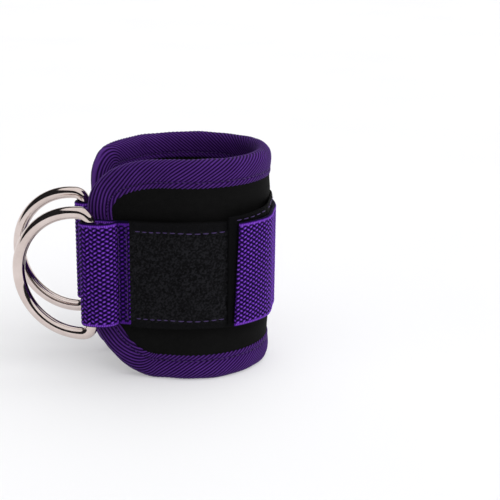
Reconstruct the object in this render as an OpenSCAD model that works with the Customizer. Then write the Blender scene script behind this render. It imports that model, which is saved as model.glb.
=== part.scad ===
// Padded cable-machine ankle cuff with two D-rings and a hook-and-loop strap.
// The pad stands on its lower rim. Its plan is a round bend with two flat arms:
// the front arm is on the -Y side, the rear arm on the +Y side, and both end at -X
// with a D-ring each. Origin: the bend's axis, at the height of the lower rim.

/* [Pad] */
// Height of the pad, from rim to rim
pad_h = 102; // [96:1:108]
// Thickness of the foam core
foam_t = 4.6; // [4.2:0.1:5]
// Thickness of the face cloth and of the lining
cloth_t = 0.6; // [0.4:0.1:0.8]
// Thickness of the edge binding tape
tape_t = 0.6; // [0.4:0.1:0.8]
// Width of the binding on each face
binding_w = 10.5; // [9:0.5:12]
// Radius of the front end's upper corner
front_top_r = 28; // [26:0.5:30]
// Radius of the front end's lower corner
front_bottom_r = 33; // [30:0.5:34]
// Radius of the rear end's upper corner
rear_top_r = 15; // [14:0.5:17]
// Radius of the rear end's lower corner
rear_bottom_r = 17; // [15:0.5:19]

/* [Plan] */
// Radius of the bend, at the middle of the pad's thickness
bend_r = 34.2; // [33.5:0.1:36]
// Angle by which the front arm turns in towards the rear
front_angle = 12; // [10:0.5:14]
// Angle by which the rear arm turns in towards the front
rear_angle = 54.5; // [52:0.5:56]
// Length of the flat front arm
front_arm = 37; // [36:0.1:38]
// Length of the flat rear arm
rear_arm = 29; // [27:0.1:30]

/* [Strap] */
// Width of the webbing
web_w = 48; // [46:0.5:50]
// Thickness of the webbing
web_t = 1.8; // [1.6:0.1:2]
// Height of the webbing's centreline
web_z = 50.5; // [49:0.5:52]
// Thickness of the hook tape
hook_t = 1; // [0.8:0.1:1.2]
// Thickness of the loop patch
loop_t = 1.2; // [1:0.1:1.4]
// How far the hook tape shows above the webbing
hook_rise = 5; // [4:0.5:6]
// How far the hook tape shows past the strap's free end
hook_lead = 3; // [2:0.5:4]

/* [Rings] */
// Diameter of the ring wire
wire_d = 5.6; // [5.4:0.1:5.8]
// Radius of the ring's half circle, at the wire's centre
ring_r = 28.2; // [28:0.1:29]
// From the bend to the front ring's bar, along the arm
front_bar = 35.7; // [35:0.1:36]
// From the bend to the rear ring's bar, along the arm
rear_bar = 25.5; // [25:0.1:26]
// Distance from the bar to the centre of the half circle
ring_offset = 5.8; // [5:0.1:7]
// Bend radius of the ring's two corners, at the wire's centre
ring_corner = 4.6; // [4:0.1:5]
// Angle by which both rings point back from -X
ring_yaw = 12.5; // [10:0.5:14]

/* [Joints] */
// Bearing of the fold between the side and the rear of the pad
rear_fold = 60; // [55:1:65]
// Bearing of the fold between the side and the front of the pad
front_fold = -5; // [-8:1:-2]
// Bearing of the line from which the strap's end lifts off
peel_line = -37; // [-40:1:-34]
// Bearing of the strap's free end
strap_end = -60.5; // [-62:0.5:-58]

/* [Hidden] */
$fn = 96;

purple = "#5a1fa0";
violet = "#6f35b8";
black = "#17171a";
charcoal = "#2a2a30";
steel = "#d5d3cf";

pad_t = foam_t + 2 * cloth_t + 2 * tape_t; // total thickness at the binding
half_pad = pad_t / 2;
half_core = foam_t / 2 + cloth_t; // half thickness of the laminated pad inside the binding
split = 0.3; // half the angle left open between two bodies, in degrees
cut = 1; // how far a cutting shape runs past what it cuts

front_start = -90 - front_angle; // bearing where the front arm leaves the bend
rear_start = -90 - rear_angle; // the same for the rear arm, in the mirrored half
rear_end = -rear_fold - split; // where the rear body's bend ends, in the mirrored half

// an arm's panel: its length, the radius of its lower corner, that of its upper corner
front_panel = [front_arm, front_bottom_r, front_top_r];
rear_panel = [rear_arm, rear_bottom_r, rear_top_r];

wire_r = wire_d / 2;
bore_r = wire_r + 0.5; // inside radius of the webbing's loop round a ring's bar
bar_y = half_pad + web_t + bore_r; // from the middle of the pad to the bar's axis
ring_sag = 0.6; // the rings hang this far below the webbing's centreline
web_bottom = web_z - web_w / 2;
tab_taper = 10.7; // from the bar to the seam that closes the loop
tab_fold = 17.6; // from the bar to the end of the folded webbing
tab_close = 2; // the loop's inside ends this far before the seam that closes it
tab_seam_in = 1.2; // from the closing line and from the folded end to their seams
patch_w = web_w + 1.5;
patch_bottom = web_z - patch_w / 2;
patch_end = peel_line - 2; // the patch and its webbing end under the strap's free end
hook_w = web_w + 2;
hook_bottom = web_z + web_w / 2 + hook_rise - hook_w;
lift = 0.3; // the strap's free end stands this far off the loop patch

strap_out = half_pad + hook_t; // underside of the front strap's webbing
tail_in = half_pad + web_t + loop_t + lift; // underside of the strap's free end

thread = 0.3; // how far a seam's thread stands proud
thread_w = 0.6;
seam_in = 7.1; // from the pad's edge to the binding seam
patch_seam_top = 5; // from the patch's top edge to its seam
patch_seam_bottom = 4; // from the patch's bottom edge to its seam
patch_seam_stop = 6; // degrees by which the patch's seams stop before the strap's free end
strap_seam_in = 3; // from the webbing's edge to its seam

// ---- the frames that the arms are built in ----

// +X runs along the arm from the bend to the arm's end, +Y points out of the cuff
module arm_frame(angle) {
    rotate([0, 0, 180 - angle]) translate([0, bend_r, 0]) children();
}

// the rear half is built like the front one, and mirrored
module mirrored() {
    mirror([0, 1, 0]) children();
}

// ---- shapes that repeat ----

// a strip of the bend between two bearings, y0 to y1 from the middle of the pad
module bend_strip(from, to, y0, y1, z0, z1) {
    rotate([0, 0, from])
        rotate_extrude(angle = to - from)
            translate([bend_r + y0, z0]) square([y1 - y0, z1 - z0]);
}

// a flat strip of an arm, in that arm's frame
module arm_strip(x0, x1, y0, y1, z0, z1) {
    translate([x0, y0, z0]) cube([x1 - x0, y1 - y0, z1 - z0]);
}

// what rounding takes off a square corner, in that corner's quarter of the circle
module corner_waste(r, inset) {
    difference() {
        square(r + cut);
        circle(r - inset);
    }
}

// outline of an arm's flat panel with two rounded corners, pulled in by inset on every edge
module arm_outline(len, low_r, high_r, inset) {
    difference() {
        translate([0, inset]) square([len - inset, pad_h - 2 * inset]);
        translate([len - low_r, low_r]) mirror([0, 1]) corner_waste(low_r, inset);
        translate([len - high_r, pad_h - high_r]) corner_waste(high_r, inset);
    }
}

module arm_panel(arm, inset, y0, y1) {
    translate([0, y1, 0]) rotate([90, 0, 0]) linear_extrude(y1 - y0)
        arm_outline(arm[0], arm[1], arm[2], inset);
}

// one layer of the pad on the bend
module bend_layer(from, to, y0, y1) {
    bend_strip(from, to, y0, y1, tape_t, pad_h - tape_t);
}

// binding on the bend: a channel over the upper rim and one over the lower rim
module bend_binding(from, to) {
    difference() {
        bend_strip(from, to, -half_pad, half_pad, 0, pad_h);
        bend_strip(from - cut, to + cut, -half_core, half_core, tape_t, pad_h - tape_t);
        bend_strip(from - cut, to + cut, -half_pad - cut, half_pad + cut,
            binding_w, pad_h - binding_w);
    }
}

// binding on an arm: over both rims and round the end
module arm_binding(arm) {
    difference() {
        arm_panel(arm, 0, -half_pad, half_pad);
        arm_panel(arm, tape_t, -half_core, half_core);
        arm_panel(arm, binding_w, -half_pad - cut, half_pad + cut);
    }
}

module bend_seam(from, to) {
    for (z = [seam_in, pad_h - seam_in - thread_w])
        bend_strip(from, to, half_pad, half_pad + thread, z, z + thread_w);
}

// the seam on an arm stops at the webbing, which covers it
module arm_seam(arm) {
    difference() {
        arm_panel(arm, seam_in, half_pad, half_pad + thread);
        arm_panel(arm, seam_in + thread_w, half_pad - cut, half_pad + thread + cut);
        arm_strip(arm[0] / 2, arm[0], half_pad - cut, half_pad + thread + cut,
            web_bottom - thread, web_bottom + web_w + thread);
    }
}

// webbing that lies on the arm, wraps the ring's bar and is sewn down on itself
module ring_tab(bar_x) {
    translate([0, 0, web_bottom]) linear_extrude(web_w) difference() {
        union() {
            translate([0, half_pad]) square([bar_x, web_t]);
            translate([bar_x - tab_fold, half_pad]) square([tab_fold, 2 * web_t]);
            translate([bar_x, bar_y]) circle(bore_r + web_t);
            polygon([
                [bar_x, half_pad],
                [bar_x, bar_y + bore_r + web_t],
                [bar_x - tab_taper, half_pad + 2 * web_t],
                [bar_x - tab_taper, half_pad]
            ]);
        }
        translate([bar_x, bar_y]) circle(bore_r);
        polygon([
            [bar_x, bar_y - bore_r],
            [bar_x, bar_y + bore_r],
            [bar_x - tab_taper + tab_close, half_pad + web_t]
        ]);
    }
}

module tab_seam(bar_x) {
    y = half_pad + 2 * web_t;
    for (x = [bar_x - tab_taper - tab_seam_in, bar_x - tab_fold + tab_seam_in])
        arm_strip(x, x + thread_w, y, y + thread,
            web_bottom + strap_seam_in, web_bottom + web_w - strap_seam_in);
}

// two rows of thread along the edges of the sewn strap on the bend
module strap_rows(from, to, y) {
    for (z = [web_bottom + strap_seam_in, web_bottom + web_w - strap_seam_in - thread_w])
        bend_strip(from, to, y, y + thread, z, z + thread_w);
}

// D-ring in its own plane: bar on the Z axis, half circle towards -X
module d_ring() {
    bar_half = ring_r - ring_corner;
    arm = ring_offset - ring_corner;
    translate([0, 0, -bar_half]) cylinder(h = 2 * bar_half, r = wire_r);
    for (side = [-1, 1]) {
        translate([-ring_corner, 0, side * bar_half]) rotate([90, 0, 0])
            rotate([0, 0, side > 0 ? 0 : -90])
                rotate_extrude(angle = 90) translate([ring_corner, 0]) circle(wire_r);
        translate([-ring_offset, 0, side * ring_r]) rotate([0, 90, 0])
            cylinder(h = arm, r = wire_r);
    }
    translate([-ring_offset, 0, 0]) rotate([90, 0, 0]) rotate([0, 0, 90])
        rotate_extrude(angle = 180) translate([ring_r, 0]) circle(wire_r);
}

// puts a ring in a tab and turns it so that it points back by yaw from -X
module ring_in_tab(angle, bar_x, yaw) {
    arm_frame(angle) translate([bar_x, bar_y, web_z - ring_sag])
        rotate([0, 0, -(180 - angle) - yaw]) children();
}

// ---- pad, front and rear ----

// one layer of a body with an arm
module end_layer(angle, start, end, arm, y0, y1) {
    bend_layer(start, end, y0, y1);
    arm_frame(angle) arm_panel(arm, tape_t, y0, y1);
}

module end_binding(angle, start, end, arm) {
    bend_binding(start, end);
    arm_frame(angle) arm_binding(arm);
}

module end_seam(angle, start, end, arm) {
    bend_seam(start, end);
    arm_frame(angle) arm_seam(arm);
}

module pad_front(y0, y1) {
    end_layer(front_angle, front_start, front_fold - split, front_panel, y0, y1);
}

module foam_front() {
    color(charcoal) pad_front(-foam_t / 2, foam_t / 2);
}

module face_front() {
    color(black) pad_front(foam_t / 2, half_core);
}

module lining_front() {
    color(black) pad_front(-half_core, -foam_t / 2);
}

module binding_front() {
    color(violet) end_binding(front_angle, front_start, front_fold - split, front_panel);
}

module binding_seam_front() {
    color(purple) end_seam(front_angle, front_start, front_fold - split, front_panel);
}

// ---- pad, side ----

module foam_side() {
    color(charcoal) bend_layer(front_fold + split, rear_fold - split, -foam_t / 2, foam_t / 2);
}

module face_side() {
    color(black) bend_layer(front_fold + split, rear_fold - split, foam_t / 2, half_core);
}

module lining_side() {
    color(black) bend_layer(front_fold + split, rear_fold - split, -half_core, -foam_t / 2);
}

module binding_side() {
    color(violet) bend_binding(front_fold + split, rear_fold - split);
}

module binding_seam_side() {
    color(purple) bend_seam(front_fold + split, rear_fold - split);
}

// ---- pad, rear ----

module pad_rear(y0, y1) {
    mirrored() end_layer(rear_angle, rear_start, rear_end, rear_panel, y0, y1);
}

module foam_rear() {
    color(charcoal) pad_rear(-foam_t / 2, foam_t / 2);
}

module face_rear() {
    color(black) pad_rear(foam_t / 2, half_core);
}

module lining_rear() {
    color(black) pad_rear(-half_core, -foam_t / 2);
}

module binding_rear() {
    color(violet) mirrored() end_binding(rear_angle, rear_start, rear_end, rear_panel);
}

module binding_seam_rear() {
    color(purple) mirrored() end_seam(rear_angle, rear_start, rear_end, rear_panel);
}

// ---- webbing, hook and loop ----

module front_webbing() {
    color(purple) {
        arm_frame(front_angle) ring_tab(front_bar);
        bend_strip(front_start, patch_end, half_pad, half_pad + web_t,
            web_bottom, web_bottom + web_w);
    }
}

module front_tab_seam() {
    color(violet) arm_frame(front_angle) tab_seam(front_bar);
}

module loop_patch() {
    y = half_pad + web_t;
    color(charcoal) {
        arm_frame(front_angle) arm_strip(0, front_bar - tab_fold, y, y + loop_t,
            patch_bottom, patch_bottom + patch_w);
        bend_strip(front_start, patch_end, y, y + loop_t, patch_bottom, patch_bottom + patch_w);
    }
}

module patch_seam() {
    y = half_pad + web_t + loop_t;
    rows = [patch_bottom + patch_seam_bottom, patch_bottom + patch_w - patch_seam_top];
    color(violet) for (z = rows) {
        arm_frame(front_angle) arm_strip(0, front_bar - tab_fold - thread_w, y, y + thread,
            z, z + thread_w);
        bend_strip(front_start, strap_end - patch_seam_stop, y, y + thread, z, z + thread_w);
    }
}

module rear_webbing() {
    color(purple) mirrored() {
        arm_frame(rear_angle) ring_tab(rear_bar);
        bend_strip(rear_start, rear_end, half_pad, half_pad + web_t,
            web_bottom, web_bottom + web_w);
    }
}

module rear_tab_seam() {
    color(violet) mirrored() arm_frame(rear_angle) tab_seam(rear_bar);
}

module strap_seam_rear() {
    color(violet) mirrored() strap_rows(rear_start, rear_end, half_pad + web_t);
}

module side_strap() {
    color(purple) bend_strip(front_fold + split, rear_fold - split,
        half_pad, half_pad + web_t, web_bottom, web_bottom + web_w);
}

module strap_seam_side() {
    color(violet) strap_rows(front_fold + split, rear_fold - split, half_pad + web_t);
}

module front_strap() {
    color(purple) bend_strip(peel_line + split, front_fold - split,
        strap_out, strap_out + web_t, web_bottom, web_bottom + web_w);
}

module hook_tape() {
    color(black) bend_strip(peel_line + split, front_fold - split,
        half_pad, half_pad + hook_t, hook_bottom, hook_bottom + hook_w);
}

module hook_seam() {
    z = hook_bottom + hook_w - hook_rise / 2;
    color(violet) bend_strip(peel_line + split, front_fold - split,
        half_pad + hook_t, half_pad + hook_t + thread, z, z + thread_w);
}

module tail_webbing() {
    color(purple) bend_strip(strap_end, peel_line - split,
        tail_in + hook_t, tail_in + hook_t + web_t, web_bottom, web_bottom + web_w);
}

module tail_hook() {
    lead = hook_lead / bend_r * 180 / PI;
    color(black) bend_strip(strap_end - lead, peel_line - split,
        tail_in, tail_in + hook_t, hook_bottom, hook_bottom + hook_w);
}

module tail_seam() {
    z = hook_bottom + hook_w - hook_rise / 2;
    color(violet) bend_strip(strap_end, peel_line - split,
        tail_in + hook_t, tail_in + hook_t + thread, z, z + thread_w);
}

// ---- rings ----

module front_ring() {
    color(steel) ring_in_tab(front_angle, front_bar, ring_yaw) d_ring();
}

module rear_ring() {
    color(steel) mirrored() ring_in_tab(rear_angle, rear_bar, -ring_yaw) d_ring();
}

foam_front();
face_front();
lining_front();
binding_front();
binding_seam_front();
foam_side();
face_side();
lining_side();
binding_side();
binding_seam_side();
foam_rear();
face_rear();
lining_rear();
binding_rear();
binding_seam_rear();
front_webbing();
front_tab_seam();
loop_patch();
patch_seam();
rear_webbing();
rear_tab_seam();
strap_seam_rear();
side_strap();
strap_seam_side();
front_strap();
hook_tape();
hook_seam();
tail_webbing();
tail_hook();
tail_seam();
front_ring();
rear_ring();
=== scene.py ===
"""Looks of the cable-machine ankle cuff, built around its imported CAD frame.

The CAD soft solids are replaced by cloth, tape and webbing in mesh code. Lengths are in
millimetres until skin() turns them into metres. A place on the pad is given as s, the distance
along its middle line from the front end, out, the distance outwards from that line, and z.
"""

import math

import bpy
import numpy as np
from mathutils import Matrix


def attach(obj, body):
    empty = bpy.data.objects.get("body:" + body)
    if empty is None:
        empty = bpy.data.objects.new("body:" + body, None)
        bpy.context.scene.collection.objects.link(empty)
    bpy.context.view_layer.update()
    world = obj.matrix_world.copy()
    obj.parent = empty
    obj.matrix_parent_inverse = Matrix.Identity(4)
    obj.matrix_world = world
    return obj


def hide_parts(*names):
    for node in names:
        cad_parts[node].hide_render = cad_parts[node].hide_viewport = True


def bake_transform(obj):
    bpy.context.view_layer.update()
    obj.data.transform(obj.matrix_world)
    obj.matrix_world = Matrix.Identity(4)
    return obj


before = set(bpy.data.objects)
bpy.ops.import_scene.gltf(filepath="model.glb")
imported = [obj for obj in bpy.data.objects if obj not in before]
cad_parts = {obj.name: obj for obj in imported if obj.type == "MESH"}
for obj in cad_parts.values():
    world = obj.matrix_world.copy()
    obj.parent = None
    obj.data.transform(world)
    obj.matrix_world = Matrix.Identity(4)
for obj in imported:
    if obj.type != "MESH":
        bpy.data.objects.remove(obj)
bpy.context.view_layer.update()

MM = 0.001

# ---- the pad: the CAD's sizes, but for a front arm 2 mm longer and a binding 1.7 mm wider ----
PAD_H = 102.0
BEND_R = 34.2
FRONT_BEARING = -102.0  # where the front arm leaves the bend
REAR_BEARING = 144.5
FRONT_ARM = 39.0
REAR_ARM = 29.0
END = {False: "front", True: "rear"}  # tables and calls tell the ends apart by rear, False or True
# each end's corners, upper then lower: run along the rim, drop along the end, and how square
CORNERS = {
    False: ((42.0, 27.0, 2.5), (32.0, 39.0, 2.0)),
    True: ((21.0, 21.0, 2.6), (18.0, 17.0, 2.0)),
}
BEND_LEN = BEND_R * math.radians(REAR_BEARING - FRONT_BEARING)
PAD_LEN = FRONT_ARM + BEND_LEN + REAR_ARM
SPLIT_BEARING = 27.5  # the visible pieces change from the front fold to the rear fold here
FACE_OUT = 2.9  # outer surface of the face cloth
FOAM_OUT = 2.3
FACE_IN = 2.6  # from the pad's edge to the visible cloths' edge
FOAM_IN = 1.9
SWELL_Z = (82.0, 20.0)  # the pad swells a little between the strap and the binding
TAPE_T = 0.6
BIND_W = 12.2
SEAM_D = 9.6  # from the pad's edge to the binding's seam
SEAM_OUT = 3.15  # of the seam's thread, on both faces
RIB_PITCH = 1.25
RIB_LEAN = 37  # degrees between the tape's ribs and its length

# ---- webbing, patch and hook tape; a place on the bend is its bearing in degrees ----
WEB_W = 48.0
WEB_T = 1.8
WEB_LOW = 26.5
TOP_OF_PAD = 3.5  # the webbing lies on the pad at this distance from the middle line
WEB_OUT = TOP_OF_PAD + WEB_T / 2  # middle of webbing that lies on the pad
FLOAT_U = 1.68  # pitch of the webbing's floats along it
FLOAT_V = 1.03  # half their pitch across it
BAR_S = {False: 3.3, True: 3.5}  # a ring's bar, from the pad's end
BAR_OUT = 8.6
LOOP_R = 3.95  # of the webbing's middle round the bar
LOOP_LAP = 17.6  # from the bar to the loop's folded end
LOOP_GROOVE = 5.9  # from the folded end to the groove beside it
LOOP_TOP = 7.15  # of the folded end
FOLD_S = {rear: bar + LOOP_LAP for rear, bar in BAR_S.items()}
PATCH_T = 1.2
PATCH_LOW = 25.75
PATCH_H = 49.5
PATCH_TOP = TOP_OF_PAD + WEB_T + PATCH_T + 0.05
PATCH_END = -39.0  # under the strap
HOOK_T = 1.0
HOOK_LOW = 29.5
HOOK_H = 50.0
HOOK_START = 8.0
PEEL_SPLIT = -33.0  # the strap's visible end piece starts here
STRAP_END = -60.5
STRAP_LEAN = -2.4  # how far its end's upper corner lies past the lower one
SEWN_TO = 12.0  # the strap is sewn to the pad up to this bearing
ROW_IN = 3.2  # from the webbing's edge to its row of stitches
HOOK_LEAD = 5.0  # degrees by which the hook tape shows past the strap's end

# ---- stitches: pitch, length and radius ----
BINDING_STITCH = (2.6, 2.1, 0.24)
LOOP_STITCH = (2.7, 2.2, 0.27)
STRAP_STITCH = (3.1, 2.3, 0.26)
HOOK_STITCH = (3.1, 2.2, 0.26)

# ---- rings ----
WIRE_R = 2.8
RING_R = 28.2
RING_OFFSET = 5.8
RING_CORNER = 4.6
RING_YAW = 12.5
RING_Z = 49.9


def smooth(start, end, x):
    """0 before start and 1 after end, with an easy run between."""
    t = np.clip((x - start) / (end - start), 0, 1)
    return t * t * (3 - 2 * t)


def s_at(bearing):
    return FRONT_ARM + BEND_R * math.radians(bearing - FRONT_BEARING)


def bearing_at(s):
    return FRONT_BEARING + np.degrees((s - FRONT_ARM) / BEND_R)


def plan(s, out):
    """Point in plan at s along the pad and out from its middle line."""
    angle = math.radians(FRONT_BEARING) + np.clip(s - FRONT_ARM, 0, BEND_LEN) / BEND_R
    normal = np.stack([np.cos(angle), np.sin(angle)], -1)
    forward = np.stack([-np.sin(angle), np.cos(angle)], -1)
    straight = np.minimum(s - FRONT_ARM, 0) + np.maximum(s - FRONT_ARM - BEND_LEN, 0)
    return (BEND_R + out)[..., None] * normal + straight[..., None] * forward


def place(s, out, z):
    s, out, z = np.broadcast_arrays(s, out, z)
    return np.concatenate([plan(s, out), z[..., None]], -1)


def even(points, step):
    """The polyline again with points about step apart, and its lengths from the start."""
    run = np.concatenate([[0], np.cumsum(np.linalg.norm(np.diff(points, axis=0), axis=1))])
    u = np.linspace(0, run[-1], max(3, round(run[-1] / step) + 1))
    return u, np.stack([np.interp(u, run, column) for column in points.T], -1)


def softened(points, rounds):
    points = points.copy()
    for _ in range(rounds):
        points[1:-1] = (points[:-2] + 2 * points[1:-1] + points[2:]) / 4
    return points


# ---- meshes ----


def mesh_of(name, points, faces, fields):
    """A smooth mesh from points in millimetres, with its values per point as attributes."""
    points = points.reshape(-1, 3) * MM
    first = np.array([f[:3] for f in faces])
    a, b, c = (points[first[:, k]] for k in range(3))
    inside_out = (a * np.cross(b, c)).sum() < 0
    if inside_out:
        faces = [f[::-1] for f in faces]
    mesh = bpy.data.meshes.new(name)
    mesh.from_pydata(points.tolist(), [], faces)
    mesh.polygons.foreach_set("use_smooth", [True] * len(faces))
    for field, values in fields.items():
        wide = values.ndim == 3
        kind = "FLOAT_VECTOR" if wide else "FLOAT"
        target = mesh.attributes.new(field, kind, "POINT").data
        target.foreach_set("vector" if wide else "value", values.astype(np.float32).ravel())
    mesh.update()
    piece = bpy.data.objects.new(name, mesh)
    bpy.context.scene.collection.objects.link(piece)
    return piece


def skin(name, rings, caps=True, **fields):
    """A tube through rings of points (n, m, 3), capped at both ends or joined end to end."""
    n, m = rings.shape[:2]
    index = np.arange(n * m).reshape(n, m)
    after = index[1:] if caps else np.roll(index, -1, 0)
    before = index[:-1] if caps else index
    quads = [before, after, np.roll(after, -1, 1), np.roll(before, -1, 1)]
    faces = np.stack(quads, -1).reshape(-1, 4).tolist()
    if caps:
        faces += [index[0].tolist(), index[-1][::-1].tolist()]
    return mesh_of(name, rings, faces, fields)


def grid_normals(points):
    along, across = np.gradient(points, axis=0), np.gradient(points, axis=1)
    normal = np.cross(along, across)
    return normal / np.maximum(np.linalg.norm(normal, axis=-1, keepdims=True), 1e-9)


def pair(u, v):
    return np.stack([u, v, np.zeros_like(u)], -1)


# ---- edge binding ----


def half_length(rear):
    """From the pad's end to the bearing where its two visible halves meet."""
    return PAD_LEN - s_at(SPLIT_BEARING) if rear else s_at(SPLIT_BEARING)


def corner_curve(run, drop, square):
    """A superellipse from the rim to the pad's end: distances from the end and from the rim."""
    turn = np.radians(np.linspace(0, 90, 400))
    rise, fall = np.sin(turn) ** (2 / square), np.cos(turn) ** (2 / square)
    return np.stack([run * (1 - rise), drop * (1 - fall)], -1)


def pad_outline(rear):
    """A pad half's outline: length from the start, s and z, and the inward direction.

    It runs along the upper rim to the end, down the end, and back along the lower rim.
    """
    upper, lower = (corner_curve(*corner) for corner in CORNERS[rear])
    upper = [0, PAD_H] + upper * [1, -1]
    start, stop = [[half_length(rear), PAD_H]], [[half_length(rear), 0.0]]
    u, path = even(np.concatenate([start, upper, lower[::-1], stop]), 0.1)
    tangent = np.gradient(path, u, axis=0)
    tangent = tangent / np.linalg.norm(tangent, axis=1, keepdims=True)
    return u, path, np.stack([-tangent[:, 1], tangent[:, 0]], -1)


OUTLINES = {rear: pad_outline(rear) for rear in (False, True)}


def edge_track(u, rear, inset):
    """s and z at u on a pad half's outline, moved inwards by inset, and the inward direction."""
    length, path, inward = OUTLINES[rear]
    s, z = (np.interp(u, length, column) for column in path.T)
    si, zi = (np.interp(u, length, column) for column in inward.T)
    return s + si * inset, z + zi * inset, si, zi


def edge_length(rear):
    return OUTLINES[rear][0][-1]


def tape_profile():
    """Half of the binding's section: distance from the pad's edge and out, from rim to hem."""
    knots = np.array([
        [0.0, 0.0], [0.12, 1.0], [0.7, 2.1], [1.8, 3.0], [3.4, 3.55], [5.4, 3.7],
        [7.8, 3.55], [SEAM_D, 3.3], [10.6, 3.42], [11.4, 3.4], [11.9, 3.25], [BIND_W, 3.0],
    ])
    knots = softened(even(knots, 0.1)[1], 6)
    return even(knots, 0.3)[1]


def twill(u, w, rear):
    """Height of the tape's diagonal ribs, 0 in a groove and 1 on a rib.

    Round the pad's end the ribs run nearly along the tape, and the rim itself is one rib, so the
    colour puts a painted highlight along the rim as on every rib.
    """
    in_end = smooth(0.02, 0.85, edge_track(u, rear, 0.0)[2])
    lean = np.radians(RIB_LEAN - 31 * in_end)
    across = math.cos(math.radians(RIB_LEAN)) / RIB_PITCH
    along = np.cumsum(across * np.tan(lean) * np.gradient(u))
    along = along + 0.10 * np.sin(u / 6.1) + 0.08 * np.sin(u / 2.7 + 1)
    sign = 1 if rear else -1
    phase = along[:, None] + sign * across * np.sqrt(w[None, :] ** 2 + 1.3)
    ribs = (0.5 + 0.5 * np.cos(2 * np.pi * phase)) ** 0.85
    rim = in_end[:, None] * (1 - smooth(0.4, 2.0, np.abs(w)))[None, :]
    return 1 - (1 - ribs) * (1 - rim)


def binding(rear):
    """The folded tape: ribs, a puckered seam with its needle holes, and a raised hem."""
    u = np.linspace(0, edge_length(rear), round(edge_length(rear) / 0.3) + 1)
    profile = tape_profile()
    deep = np.concatenate([profile[::-1, 0], profile[1:, 0]])
    out = np.concatenate([profile[::-1, 1], -profile[1:, 1]])
    w = np.cumsum(np.hypot(np.gradient(deep), np.gradient(out)))
    w = w - w[len(profile) - 1]
    ribs = twill(u, w, rear)
    hem = smooth(SEAM_D + 2.0, SEAM_D + 3.4, np.abs(w))
    seam_w = abs(w[np.argmin(np.abs(deep[: len(profile)] - SEAM_D))])
    near_seam = np.exp(-(((np.abs(w) - seam_w) / 0.55) ** 2))
    holes = (0.5 + 0.5 * np.cos(2 * np.pi * u / BINDING_STITCH[0])) ** 3
    height = 0.19 * (ribs - 0.6) * (1 - 0.4 * hem)[None, :] * (1 - 0.6 * near_seam)[None, :]
    height = height - near_seam[None, :] * (0.06 + 0.20 * holes[:, None])
    puff = 0.12 * np.sin(u / 4.9 + 1) + 0.07 * np.sin(u / 2.3)
    height = height + puff[:, None] * (1 - smooth(4, SEAM_D, np.abs(w)))[None, :]
    last = smooth(np.abs(w[0]) - 0.9, np.abs(w[0]), np.abs(w))
    reach = deep[None, :] + 0.35 * (ribs - 0.5) * last[None, :]
    s, z, si, zi = (x[:, None] for x in edge_track(u, rear, 0.0))
    s, z = s + si * reach, z + zi * reach
    s = PAD_LEN - s if rear else s
    skin_points = place(s, out[None, :], z)
    normal = grid_normals(skin_points) * (1 if rear else -1)
    outer = skin_points + normal * height[..., None]
    picks = np.linspace(len(w) - 3, 2, 12).round().astype(int)
    inner = skin_points[:, picks] - normal[:, picks] * TAPE_T
    # painted shade: the relief attribute, and with it the colour, is darker in the rib grooves, along
    # the seam and in its needle holes
    shade = ribs * (1 - 0.55 * near_seam[None, :] * (0.4 + 0.6 * holes[:, None]))
    relief = np.concatenate([shade, np.zeros((len(u), len(picks)))], 1)
    flat = np.broadcast_to(np.concatenate([w, w[picks]])[None, :], relief.shape)
    cloth = pair(np.broadcast_to(u[:, None], relief.shape), flat)
    rings = np.concatenate([outer, inner], 1)
    return skin(f"edge_binding_{END[rear]}", rings, relief=relief, cloth=cloth)


# ---- layers of the pad ----


def slab(name, rear, low_out, high_out, inset, step=1.0):
    """A layer of a pad half, following the pad's outline inside its edge by inset."""
    length = half_length(rear)
    s = inset + (length - inset) * np.linspace(0, 1, round(length / step)) ** 1.25
    _, path, inward = OUTLINES[rear]
    edge = path + inward * inset
    upper, lower = edge[edge[:, 1] > PAD_H / 2][::-1], edge[edge[:, 1] <= PAD_H / 2]
    high, low = (np.interp(s, part[:, 0], part[:, 1]) for part in (upper, lower))
    t = np.linspace(0, 1, round(PAD_H / step))
    z = low[:, None] + (high - low)[:, None] * t[None, :]
    puff = 0.4 * sum(np.exp(-(((z - middle) / 4) ** 2)) for middle in SWELL_Z)
    puff = (puff + 0.10 * np.sin(s[:, None] / 7 + z / 11)) * smooth(16, 24, s)[:, None]
    from_end = np.broadcast_to(s[:, None], z.shape)
    along = PAD_LEN - from_end if rear else from_end
    top = place(along, high_out + puff, z)
    under = place(along, low_out + puff, z)[:, ::-1]
    cloth = np.concatenate([pair(from_end, z), pair(from_end, z[:, ::-1])], 1)
    return skin(name, np.concatenate([top, under], 1), cloth=cloth)


# ---- webbing and tapes ----


def weave(u, v, skew):
    """Height of the webbing's floats, 0 in the gaps and 1 on top."""
    u = u + 0.12 * np.sin(0.9 * v + 1.3) + 0.08 * np.sin(2.3 * v)
    shifted = v + skew * np.sin(np.pi * u / FLOAT_U) + 0.10 * np.sin(0.41 * u)
    lobes = np.cos(np.pi * u / FLOAT_U) * np.cos(np.pi * shifted / FLOAT_V)
    body = np.maximum(lobes, 0) ** 0.6
    from_edge = np.minimum(v, WEB_W - v)
    selvedge = 1 - smooth(1.2, 1.9, from_edge)
    rib = 0.45 + 0.55 * np.cos(2 * np.pi * (u / 1.9 + 0.3 * from_edge)) ** 2
    return body * (1 - selvedge) + rib * selvedge


def section(width, thick, step, back_step):
    """A flat tape's section, once round: v across it, the share of its half thickness, the side."""
    half = thick / 2
    front = np.linspace(half, width - half, round(width / step))
    back = np.linspace(width - half, half, round(width / back_step))
    bend = np.radians([45, 90, 135])
    top_v = width - half + half * np.sin(bend)
    v = np.concatenate([front, top_v, back, width - top_v])
    lift = np.concatenate([np.ones(len(front)), np.cos(bend), -np.ones(len(back)), -np.cos(bend)])
    side = np.concatenate([np.ones(len(front)), np.zeros(3), -np.ones(len(back)), np.zeros(3)])
    return v, lift, side


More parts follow.
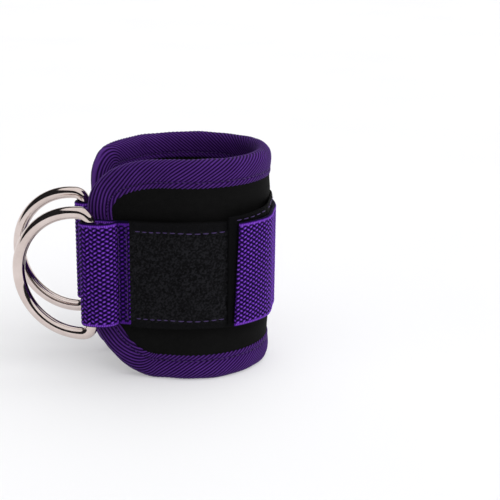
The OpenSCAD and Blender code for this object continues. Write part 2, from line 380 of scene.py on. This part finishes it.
def ribbon(name, line, low, width, thick, relief, depth, step=0.3, back_step=0.3, along=0.42,
           flip=False, lean=0.0):
    """Webbing or tape on edge: line is its middle in plan, low the height of its lower edge.

    relief(u, v, side) gives the surface's height from 0 to 1, and depth is that height in
    millimetres. low may be a function of the points in plan. lean is how far the far end's upper
    corner lies past its lower one.
    """
    u, line = even(line, along)
    tangent = np.gradient(line, axis=0)
    tangent = tangent / np.linalg.norm(tangent, axis=1, keepdims=True)
    normal = np.stack([tangent[:, 1], -tangent[:, 0]], -1) * (-1 if flip else 1)
    v, lift, side = section(width, thick, step, back_step)
    grid_u = u[:, None] + lean * (v / width - 0.5)[None, :] * smooth(0.3, 1, u / u[-1])[:, None]
    centre = np.stack([np.interp(grid_u, u, line[:, k]) for k in range(2)], -1)
    centre = centre + (grid_u - np.clip(grid_u, 0, u[-1]))[..., None] * tangent[-1]
    height = relief(grid_u, np.broadcast_to(v[None, :], grid_u.shape), side[None, :])
    height = height * np.abs(side)[None, :]
    ends = np.minimum(grid_u - grid_u[:1], grid_u[-1:] - grid_u)
    closing = np.sqrt(np.clip(1 - (1 - np.clip(ends / 0.6, 0, 1)) ** 2, 0.12, 1))
    off = (lift[None, :] * thick / 2 + side[None, :] * (height - 0.6) * depth) * closing
    flat = centre + normal[:, None, :] * off[..., None]
    z = (low(flat) if callable(low) else low) + v[None, :]
    z = np.broadcast_to(z, grid_u.shape)
    rings = np.concatenate([flat, z[..., None]], -1)
    cloth = pair(grid_u, np.broadcast_to(v[None, :], grid_u.shape))
    return skin(name, rings, relief=height, cloth=cloth)


def loop_line(rear, stop_s):
    """Plan curve of a ring's loop, from its folded end round the bar and on along the pad."""
    turn = np.radians(np.linspace(0, 180, 40))
    top = np.array([
        [LOOP_LAP, 6.2], [13.4, 6.2], [12.2, 6.0], [11.5, 6.8], [10.2, 9.8], [8.0, 11.8], [4.6, 12.7],
    ])
    round_bar = np.stack([-LOOP_R * np.sin(turn), BAR_OUT + LOOP_R * np.cos(turn)], -1)
    under = np.array([[3.0, WEB_OUT], [stop_s - BAR_S[rear], WEB_OUT]])
    path = np.concatenate([top, round_bar, under]) + [BAR_S[rear], 0]
    path = softened(even(path, 0.25)[1], 14)
    return plan(PAD_LEN - path[:, 0] if rear else path[:, 0], path[:, 1])


def strap_out(bearing):
    """Middle of the strap's thickness: over the pad, over the hook tape, over the patch."""
    return WEB_OUT + smooth(-24, -12, -bearing) + 3.3 * smooth(13, 38.5, -bearing)


def hook_out(bearing):
    return strap_out(bearing) - WEB_T / 2 - HOOK_T / 2


def bend_line(start, end, out):
    bearing = np.linspace(start, end, 400)
    return plan(s_at(0) + BEND_R * np.radians(bearing), out(bearing))


def patch_low(points):
    """The patch is sewn on a little unevenly: its edges bow by a fraction of a millimetre."""
    return PATCH_LOW + 0.3 * np.sin(points[..., 0] / 7.0 + 1)


def hook_low(points):
    """The hook tape is sewn on a little askew: it shows less above the strap at the free end."""
    bearing = np.degrees(np.arctan2(points[..., 1], points[..., 0]))
    return HOOK_LOW - 2.3 * smooth(20, 64, -bearing)


def strap_relief(u, v, side):
    return weave(u, v, 0.18)


def tab_relief(u, v, side):
    """The loop's yarns lean more round the bar, and lie deeper in the groove and beyond it, where the
    lower relief also paints shade on the colour, darkest in the groove.
    """
    skew = 0.12 + 0.38 * np.exp(-(((u - 24) / 7) ** 2))
    groove = np.exp(-(((u - LOOP_GROOVE) / 0.75) ** 2))
    deep = (0.58 + 0.42 * smooth(5.2, 7.4, u)) * (1 - 0.75 * groove)
    folded = smooth(9, 7, u)
    return weave(u, v, skew) * (1 - folded * (1 - deep))


def pile_relief(u, v, side):
    """Matted loops with smoother bands along both edges."""
    rng = np.random.default_rng(4)
    rough = rng.random(u.shape)
    soft = (rough + np.roll(rough, 1, 0) + np.roll(rough, 1, 1) + np.roll(rough, (1, 1), (0, 1))) / 4
    band = smooth(3.6, 5.2, PATCH_H - v) * smooth(2.6, 4.0, v)
    return 0.45 + (soft - 0.5) * (0.5 + 1.5 * band) + 0.25 * band


def hook_relief(u, v, side):
    rng = np.random.default_rng(9)
    dots = np.cos(2 * np.pi * u / 1.2) * np.cos(2 * np.pi * v / 1.2)
    return 0.5 + 0.4 * dots * (side < 0) + 0.5 * (rng.random(u.shape) - 0.5)


def webbing(name, line, relief, **options):
    return ribbon(name, line, WEB_LOW, WEB_W, WEB_T, relief, 0.30, **options)


def strap(name, start, end, **options):
    line = bend_line(start, end, strap_out)
    return webbing(name, line, strap_relief, back_step=0.6, flip=True, **options)


def hook_tape(name, start, end):
    line = bend_line(start, end, hook_out)
    return ribbon(
        name, line, hook_low, HOOK_H, HOOK_T, hook_relief, 0.12, step=0.5, back_step=0.4, flip=True
    )


def loop_patch(name, start, end):
    run = np.linspace(start, end, 300)
    line = plan(run, np.full(300, TOP_OF_PAD + WEB_T + PATCH_T / 2))
    return ribbon(
        name, line, patch_low, PATCH_H, PATCH_T, pile_relief, 0.35, step=0.36, back_step=1.0,
        along=0.36,
    )


# ---- stitches ----


def stitches(name, tracks, pitch, length, radius):
    """Separate stitches, each a bent tube with six sides and seven rings of points.

    A track is its whole length and a mapping from run, across and up to points.
    """
    sides, steps, sink = 6, 7, 0.35
    turn = np.radians(np.arange(0, 360, 360 / sides))
    t = np.linspace(0, 1, steps)
    arch = np.sin(np.pi * t) ** 0.5
    thick = radius * (0.35 + 0.65 * np.sin(np.pi * np.clip(t, 0.06, 0.94)) ** 0.6)
    hoop = np.arange(sides)
    stitch = [
        [a + k, a + (k + 1) % sides, a + sides + (k + 1) % sides, a + sides + k]
        for a in range(0, sides * (steps - 1), sides) for k in hoop
    ]
    stitch = stitch + [hoop[::-1].tolist(), (hoop + sides * (steps - 1)).tolist()]
    blocks = []
    for total, mapping in tracks:
        count = int(total // pitch)
        start = (total - count * pitch) / 2 + (pitch - length) / 2 + pitch * np.arange(count)
        run = start[:, None, None] + (length * t)[None, :, None] + 0 * turn
        sway = 0.12 * np.sin(5.3 * np.arange(count))[:, None, None]
        across = (thick[:, None] * np.cos(turn))[None] + sway + 0 * run
        up = ((arch - 0.7) * sink)[:, None] + thick[:, None] * np.sin(turn) + 0 * run
        blocks.append(mapping(run, across, up).reshape(-1, 3))
    points = np.concatenate(blocks)
    faces = [[b + k for k in face] for b in range(0, len(points), sides * steps) for face in stitch]
    return mesh_of(name, points, faces, {})


def row_on_pad(start, end, z, out):
    """A level row from s to s, at a height out from the middle line."""
    sign = 1 if end > start else -1

    def mapping(run, across, up):
        s = start + sign * run
        level = out(s) if callable(out) else out
        height = z(s) if callable(z) else z
        return place(s, level + up, height + across)

    return abs(end - start), mapping


def upright_row(s, low, high, out):
    return high - low, lambda run, across, up: place(s + across, out + up, low + run)


def edge_row(rear, out):
    """The binding's seam, on the outer face or, with out below zero, on the inner face."""

    def mapping(run, across, up):
        s, z, si, zi = edge_track(run, rear, SEAM_D)
        s, z = s + si * across, z + zi * across
        return place(PAD_LEN - s if rear else s, out + math.copysign(1, out) * up, z)

    return edge_length(rear), mapping


def above_strap(s):
    return strap_out(bearing_at(s)) + WEB_T / 2 + 0.1


def above_hook(s):
    return hook_out(bearing_at(s)) + HOOK_T / 2 + 0.05


def hook_seam_z(s):
    return hook_low(plan(s, hook_out(bearing_at(s)))) + HOOK_H - 2.0


# ---- rings ----


def ring(name, rear):
    """Swept wire through a rounded D, with its bar upright in the webbing's loop."""
    half = RING_R - RING_CORNER
    corner = np.radians(np.linspace(0, 90, 14))
    circle = np.radians(np.linspace(90, -90, 120))
    bar = np.stack([np.zeros(16), np.linspace(-half, half, 16)], -1)
    upper = [-RING_CORNER, half] + RING_CORNER * np.stack([np.cos(corner), np.sin(corner)], -1)
    bow = np.stack([-RING_OFFSET - RING_R * np.cos(circle), RING_R * np.sin(circle)], -1)
    lower = (upper * [1, -1])[::-1]
    path = np.concatenate([bar[:-1], upper, bow, lower[:-1]])
    path = even(np.concatenate([path, path[:1]]), 0.7)[1][:-1]
    tangent = np.roll(path, -1, 0) - np.roll(path, 1, 0)
    tangent = tangent / np.linalg.norm(tangent, axis=1, keepdims=True)
    side = np.stack([tangent[:, 1], -tangent[:, 0]], -1)
    turn = np.linspace(0, 2 * math.pi, 33)[:-1]
    flat = path[:, None, :] + WIRE_R * np.cos(turn)[None, :, None] * side[:, None, :]
    depth = np.broadcast_to(WIRE_R * np.sin(turn)[None, :], flat.shape[:2])
    yaw = math.radians(-RING_YAW)
    x = flat[..., 0] * math.cos(yaw) - depth * math.sin(yaw)
    y = flat[..., 0] * math.sin(yaw) + depth * math.cos(yaw)
    s = PAD_LEN - BAR_S[rear] if rear else BAR_S[rear]
    pivot = plan(np.array(s), np.array(BAR_OUT))
    rings = np.stack([x + pivot[0], y + pivot[1], flat[..., 1] + RING_Z], -1)
    return skin(name, rings, caps=False)


# ---- materials ----


class Graph:
    """A Principled material and short calls for its nodes."""

    def __init__(self, name, **sockets):
        self.material = bpy.data.materials.new(name)
        self.material.use_nodes = True
        self.tree = self.material.node_tree
        self.shader = self.tree.nodes["Principled BSDF"]
        for socket, value in sockets.items():
            self.shader.inputs[socket.replace("_", " ")].default_value = value

    def node(self, kind, inputs=(), **settings):
        node = self.tree.nodes.new(kind)
        for key, value in settings.items():
            setattr(node, key, value)
        for key, value in dict(inputs).items():
            if isinstance(value, bpy.types.NodeSocket):
                self.tree.links.new(value, node.inputs[key])
            else:
                node.inputs[key].default_value = value
        return node

    def field(self, name, output="Fac"):
        return self.node("ShaderNodeAttribute", attribute_name=name).outputs[output]

    def spot(self):
        return self.node("ShaderNodeTexCoord").outputs["Object"]

    def scaled(self, vector, scale):
        node = self.node("ShaderNodeVectorMath", {0: vector, 1: scale}, operation="MULTIPLY")
        return node.outputs[0]

    def noise(self, vector, scale, detail, rough=0.6):
        inputs = {"Vector": vector, "Scale": scale, "Detail": detail, "Roughness": rough}
        return self.node("ShaderNodeTexNoise", inputs).outputs["Fac"]

    def ramp(self, value, *stops):
        node = self.node("ShaderNodeValToRGB", {"Fac": value})
        node.color_ramp.elements[0].position, node.color_ramp.elements[0].color = stops[0]
        node.color_ramp.elements[1].position, node.color_ramp.elements[1].color = stops[-1]
        for position, colour in stops[1:-1]:
            node.color_ramp.elements.new(position).color = colour
        return node.outputs["Color"]

    def shaded(self, colour, shade):
        """The colour times a plain number."""
        level = self.node("ShaderNodeCombineColor", {0: shade, 1: shade, 2: shade}).outputs[0]
        inputs = {0: 1.0, 6: colour, 7: level}
        node = self.node("ShaderNodeMix", inputs, data_type="RGBA", blend_type="MULTIPLY")
        return node.outputs[2]

    def times(self, a, b):
        return self.node("ShaderNodeMath", {0: a, 1: b}, operation="MULTIPLY").outputs[0]

    def range(self, value, low, high):
        inputs = {"Value": value, "To Min": low, "To Max": high}
        return self.node("ShaderNodeMapRange", inputs).outputs["Result"]

    def bump(self, height, distance, strength):
        inputs = {"Height": height, "Distance": distance, "Strength": strength}
        return self.node("ShaderNodeBump", inputs).outputs["Normal"]

    def wire(self, socket, value):
        self.tree.links.new(value, self.shader.inputs[socket])


def rgb(r, g, b):
    return (r, g, b, 1.0)


def grey(tone):
    return rgb(tone, tone, tone)


def yarn_cloth(name, dark, light, painted_highlight, yarn_scale):
    """Woven purple cloth: dark gaps and lighter ribs, which are painted shade and painted highlight
    following the relief attribute, slubs, and fine yarn bump.
    """
    g = Graph(name, Specular_IOR_Level=0.05, Sheen_Weight=0.03, Sheen_Roughness=0.4)
    cloth = g.field("cloth", "Vector")
    # painted shade where the relief is low, in gaps and grooves, and a painted highlight where it is
    # high, on rib and float tops
    body = g.ramp(g.field("relief"), (0.05, dark), (0.62, light), (1.0, painted_highlight))
    slub = g.noise(g.scaled(cloth, (0.5, 2.2, 1)), 1.0, 4.0)
    patchy = g.noise(cloth, 0.09, 2.0)
    shade = g.times(g.range(slub, 0.65, 1.35), g.range(patchy, 0.78, 1.22))
    g.wire("Base Color", g.shaded(body, shade))
    fine = g.noise(g.scaled(cloth, yarn_scale), 1.0, 5.0, 0.7)
    g.wire("Normal", g.bump(fine, 0.00025, 0.55))
    g.wire("Roughness", g.range(slub, 0.62, 0.85))
    return g.material


def binding_cloth():
    return yarn_cloth(
        "binding_twill", rgb(0.0025, 0.0002, 0.010), rgb(0.037, 0.0075, 0.10),
        rgb(0.086, 0.028, 0.205), (5.5, 1.1, 1),
    )


def webbing_cloth():
    return yarn_cloth(
        "strap_webbing", rgb(0.0025, 0.0002, 0.016), rgb(0.095, 0.0165, 0.31),
        rgb(0.28, 0.10, 0.64), (1.6, 6.5, 1),
    )


def plain_black(name, tone, scale, depth):
    """Black stretch cloth over foam: a fine knit in the bump and a faint mottling."""
    g = Graph(name, Specular_IOR_Level=0.06)
    cloth = g.field("cloth", "Vector")
    stretched = g.scaled(cloth, (scale, scale * 0.7, 1))
    knit = g.node("ShaderNodeTexVoronoi", {"Vector": stretched, "Scale": 1.0})
    mottle = g.noise(cloth, 0.3, 4.0)
    g.wire("Base Color", g.ramp(mottle, (0.25, grey(tone * 0.8)), (0.75, grey(tone * 1.25))))
    g.wire("Normal", g.bump(knit.outputs["Distance"], depth, 0.5))
    g.wire("Roughness", g.range(mottle, 0.78, 0.95))
    return g.material


def pile_cloth():
    g = Graph("loop_pile", Roughness=0.95, Specular_IOR_Level=0.12)
    cloth = g.field("cloth", "Vector")
    fibre = g.noise(g.scaled(cloth, (1.5, 2.1, 1)), 1.0, 6.0, 0.8)
    tuft = g.times(g.range(fibre, 0.0, 1.6), g.field("relief"))
    colour = g.ramp(
        tuft, (0.15, rgb(0.0018, 0.0018, 0.0021)), (0.5, rgb(0.0045, 0.0045, 0.0055)),
        (0.85, rgb(0.0135, 0.0135, 0.016)),
    )
    g.wire("Base Color", colour)
    g.wire("Normal", g.bump(fibre, 0.0006, 0.9))
    return g.material


def hook_cloth():
    g = Graph("hook_tape", Roughness=0.8, Specular_IOR_Level=0.06)
    cloth = g.field("cloth", "Vector")
    nap = g.noise(g.scaled(cloth, (2.6, 2.6, 1)), 1.0, 4.0, 0.7)
    dark, light = rgb(0.0013, 0.0013, 0.0015), rgb(0.0042, 0.0042, 0.005)
    g.wire("Base Color", g.ramp(nap, (0.3, dark), (0.75, light)))
    g.wire("Normal", g.bump(nap, 0.0004, 0.8))
    return g.material


def sewing_thread(name, colour):
    g = Graph(name, Roughness=0.55, Specular_IOR_Level=0.3)
    twist = g.noise(g.spot(), 2600.0, 2.0)
    dim = tuple(c * 0.55 for c in colour[:3]) + (1.0,)
    g.wire("Base Color", g.ramp(twist, (0.3, dim), (0.7, colour)))
    g.wire("Normal", g.bump(twist, 0.0001, 0.6))
    return g.material


def ring_metal():
    """Polished nickel with faint polishing streaks and a little dulling."""
    g = Graph("nickel_ring", Metallic=1.0)
    dull = g.noise(g.spot(), 90.0, 4.0)
    streak = g.noise(g.scaled(g.spot(), (1, 1, 9)), 240.0, 3.0)
    g.wire("Base Color", g.ramp(dull, (0.3, rgb(0.60, 0.505, 0.47)), (0.7, rgb(0.72, 0.625, 0.59))))
    g.wire("Roughness", g.range(dull, 0.035, 0.13))
    g.wire("Normal", g.bump(streak, 0.00002, 0.1))
    return g.material


def finish_piece(piece, material, slot, replaced, bodies, bend=None):
    """Material, slot (not used), the CAD nodes it stands for, and what it moves with."""
    piece.data.materials.append(material)
    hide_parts(*replaced)
    if bend is None:
        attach(piece, bodies)
    else:
        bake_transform(piece)


# what a soft piece follows across each fold, and the bearings where it turns
FRONT = (("side_panel", "front_panel"), (20, -30))
REAR = (("side_panel", "rear_panel"), (35, 85))
TAIL = (("front_panel", "strap_tail"), (PEEL_SPLIT, -42))

twill_m = binding_cloth()
web_m = webbing_cloth()
face_m = plain_black("face_cloth", 0.0042, 2.4, 0.00012)
lining_m = plain_black("lining_cloth", 0.0045, 1.6, 0.00018)
foam_m = plain_black("foam_core", 0.02, 3.2, 0.0003)
pile_m = pile_cloth()
hook_m = hook_cloth()
thread_m = sewing_thread("purple_thread", rgb(0.06, 0.034, 0.13))
seam_m = sewing_thread("binding_thread", rgb(0.05, 0.016, 0.12))
metal_m = ring_metal()

# ---- the pad ----


def pad_half(rear):
    end = END[rear]
    parts = ["rear"] if rear else ["front", "side"]

    def finish(piece, material, slot, kind):
        nodes = [f"{kind}_{part}" for part in parts]
        finish_piece(piece, material, slot, nodes, *(REAR if rear else FRONT))

    foam = slab(f"foam_core_{end}", rear, -FOAM_OUT, FOAM_OUT, FOAM_IN)
    finish(foam, foam_m, "foam", "foam")
    face = slab(f"face_cloth_{end}", rear, FOAM_OUT, FACE_OUT, FACE_IN, 0.8)
    finish(face, face_m, "face_cloth", "face")
    lining = slab(f"lining_cloth_{end}", rear, -FACE_OUT, -FOAM_OUT, FACE_IN, 0.8)
    finish(lining, lining_m, "lining", "lining")
    tape = binding(rear)
    finish(tape, twill_m, "binding", "binding")
    rows = [edge_row(rear, SEAM_OUT), edge_row(rear, -SEAM_OUT)]
    seam = stitches(f"binding_stitches_{end}", rows, *BINDING_STITCH)
    finish(seam, seam_m, "thread", "binding_seam")


for rear in END:
    pad_half(rear)

# ---- front webbing, loop patch and their seams ----
patch_start, patch_stop = FOLD_S[False], s_at(PATCH_END)
front_web = webbing("front_ring_webbing", loop_line(False, patch_stop), tab_relief)
finish_piece(front_web, web_m, "webbing", ["front_webbing"], "front_panel")
patch = loop_patch("loop_patch_pile", patch_start - 0.6, patch_stop)
finish_piece(patch, pile_m, "loop_pile", ["loop_patch"], "front_panel")
rows = [
    row_on_pad(patch_start + 1, s_at(STRAP_END - 4), PATCH_LOW + z, PATCH_TOP)
    for z in (4.2, PATCH_H - 4.8)
]
seam = stitches("patch_stitches", rows, *STRAP_STITCH)
finish_piece(seam, thread_m, "thread", ["patch_seam"], "front_panel")

# ---- seams that close the rings' loops ----
for rear, end in END.items():
    rows = [PAD_LEN - FOLD_S[rear] + d if rear else FOLD_S[rear] - d for d in (5.0, 1.2)]
    rows = [upright_row(s, WEB_LOW + 2, WEB_LOW + WEB_W - 2, LOOP_TOP) for s in rows]
    seam = stitches(f"loop_stitches_{end}", rows, *LOOP_STITCH)
    finish_piece(seam, seam_m, "thread", [f"{end}_tab_seam"], f"{end}_panel")

# ---- the strap, from the rear ring round to its free end ----
rear_line = loop_line(True, half_length(True))
rear_web = webbing("rear_strap_webbing", rear_line, tab_relief, along=0.48, flip=True)
finish_piece(rear_web, web_m, "webbing", ["rear_webbing"], *REAR)
side_strap = strap("side_strap_webbing", SPLIT_BEARING, PEEL_SPLIT)
finish_piece(side_strap, web_m, "webbing", ["side_strap", "front_strap"], *FRONT)
strap_end = strap("strap_end_webbing", PEEL_SPLIT, STRAP_END, lean=STRAP_LEAN)
finish_piece(strap_end, web_m, "webbing", ["tail_webbing"], *TAIL)

# ---- the hook tape under the strap, and its seam ----
for name, start, stop, node, moves in (
    ("side_hook_tape", HOOK_START, PEEL_SPLIT, "hook_tape", FRONT),
    ("strap_end_hook_tape", PEEL_SPLIT, STRAP_END - HOOK_LEAD, "tail_hook", TAIL),
):
    tape = hook_tape(name, start, stop)
    finish_piece(tape, hook_m, "hook_tape", [node], *moves)
for name, start, stop, node, moves in (
    ("hook_stitches", HOOK_START, PEEL_SPLIT, "hook_seam", FRONT),
    ("strap_end_stitches", PEEL_SPLIT, STRAP_END - 2, "tail_seam", TAIL),
):
    rows = [row_on_pad(s_at(start), s_at(stop), hook_seam_z, above_hook)]
    seam = stitches(name, rows, *HOOK_STITCH)
    finish_piece(seam, thread_m, "thread", [node], *moves)

# ---- the rows that sew the strap to the pad ----
strap_start = PAD_LEN - FOLD_S[True] - 4
for name, start, stop, node, moves in (
    ("rear_strap_stitches", strap_start, s_at(SPLIT_BEARING), "strap_seam_rear", REAR),
    ("side_strap_stitches", s_at(SPLIT_BEARING), s_at(SEWN_TO), "strap_seam_side", FRONT),
):
    rows = [row_on_pad(start, stop, WEB_LOW + z, above_strap) for z in (ROW_IN, WEB_W - ROW_IN)]
    seam = stitches(name, rows, *STRAP_STITCH)
    finish_piece(seam, thread_m, "thread", [node], *moves)

# ---- the rings ----
for rear, end in END.items():
    wire = ring(f"{end}_d_ring_wire", rear)
    finish_piece(wire, metal_m, "ring_steel", [f"{end}_ring"], f"{end}_d_ring")

# ---- floor, light and camera ----


def stage_floor():
    """One very large pale floor, so that its far edge is lost at the horizon."""
    mesh = bpy.data.meshes.new("floor")
    reach = 60.0
    corners = [(x * reach, y * reach, 0) for x, y in ((-1, -1), (1, -1), (1, 1), (-1, 1))]
    mesh.from_pydata(corners, [], [(0, 1, 2, 3)])
    floor = bpy.data.objects.new("floor", mesh)
    bpy.context.scene.collection.objects.link(floor)
    g = Graph("floor_paint", Roughness=0.9, Specular_IOR_Level=0.1, Emission_Strength=0.31)
    tint = g.noise(g.spot(), 3.0, 2.0)
    dark, light = rgb(0.575, 0.575, 0.59), rgb(0.595, 0.595, 0.605)
    g.wire("Base Color", g.ramp(tint, (0.3, dark), (0.7, light)))
    mesh.materials.append(g.material)


def soft_sun(name, towards, strength, spread, glossy):
    """A very wide sun: its light is as even as a large softbox's, wherever the floor goes."""
    data = bpy.data.lights.new(name, "SUN")
    data.energy = strength
    data.angle = math.radians(spread)
    light = bpy.data.objects.new(name, data)
    x, y, z = towards
    light.rotation_euler = (0, math.atan2(math.hypot(x, y), z), math.atan2(y, x))
    light.visible_glossy = glossy
    bpy.context.scene.collection.objects.link(light)


def sky():
    """White low down and well up behind, and dark elsewhere, for the polished rings to show."""
    world = bpy.data.worlds.new("studio")
    world.use_nodes = True
    bpy.context.scene.world = world
    tree = world.node_tree
    coordinate = tree.nodes.new("ShaderNodeTexCoord")
    height = tree.nodes.new("ShaderNodeVectorMath")
    height.operation = "DOT_PRODUCT"
    height.inputs[1].default_value = (0.0, -0.4, 1.0)
    ramp = tree.nodes.new("ShaderNodeValToRGB")
    ramp.color_ramp.elements[0].position = 0.05
    ramp.color_ramp.elements[0].color = rgb(1, 1, 1)
    ramp.color_ramp.elements[1].position = 0.14
    ramp.color_ramp.elements[1].color = rgb(0.02, 0.02, 0.022)
    tree.links.new(coordinate.outputs["Generated"], height.inputs[0])
    tree.links.new(height.outputs["Value"], ramp.inputs["Fac"])
    background = tree.nodes["Background"]
    tree.links.new(ramp.outputs["Color"], background.inputs["Color"])
    background.inputs["Strength"].default_value = 1.0


stage_floor()
sky()
soft_sun("top_softbox", (0.25, -0.2, 1.0), 1.85, 100, True)
soft_sun("rear_softbox", (0.3, 0.9, 0.9), 0.8, 80, False)
soft_sun("front_left_fill", (-0.6, -1.0, 0.9), 0.4, 80, False)
soft_sun("front_right_fill", (1.0, -0.45, 0.65), 1.8, 80, False)

camera_data = bpy.data.cameras.new("camera")
camera_data.sensor_width = 36.0
camera_data.lens = 79.2
camera_data.shift_x = 0.1
camera = bpy.data.objects.new("camera", camera_data)
camera.location = (0.0049, -0.5016, 0.1992)
camera.rotation_euler = (math.radians(73.56), 0, 0)
bpy.context.scene.collection.objects.link(camera)
bpy.context.scene.camera = camera
bpy.context.scene.view_settings.view_transform = "Standard"
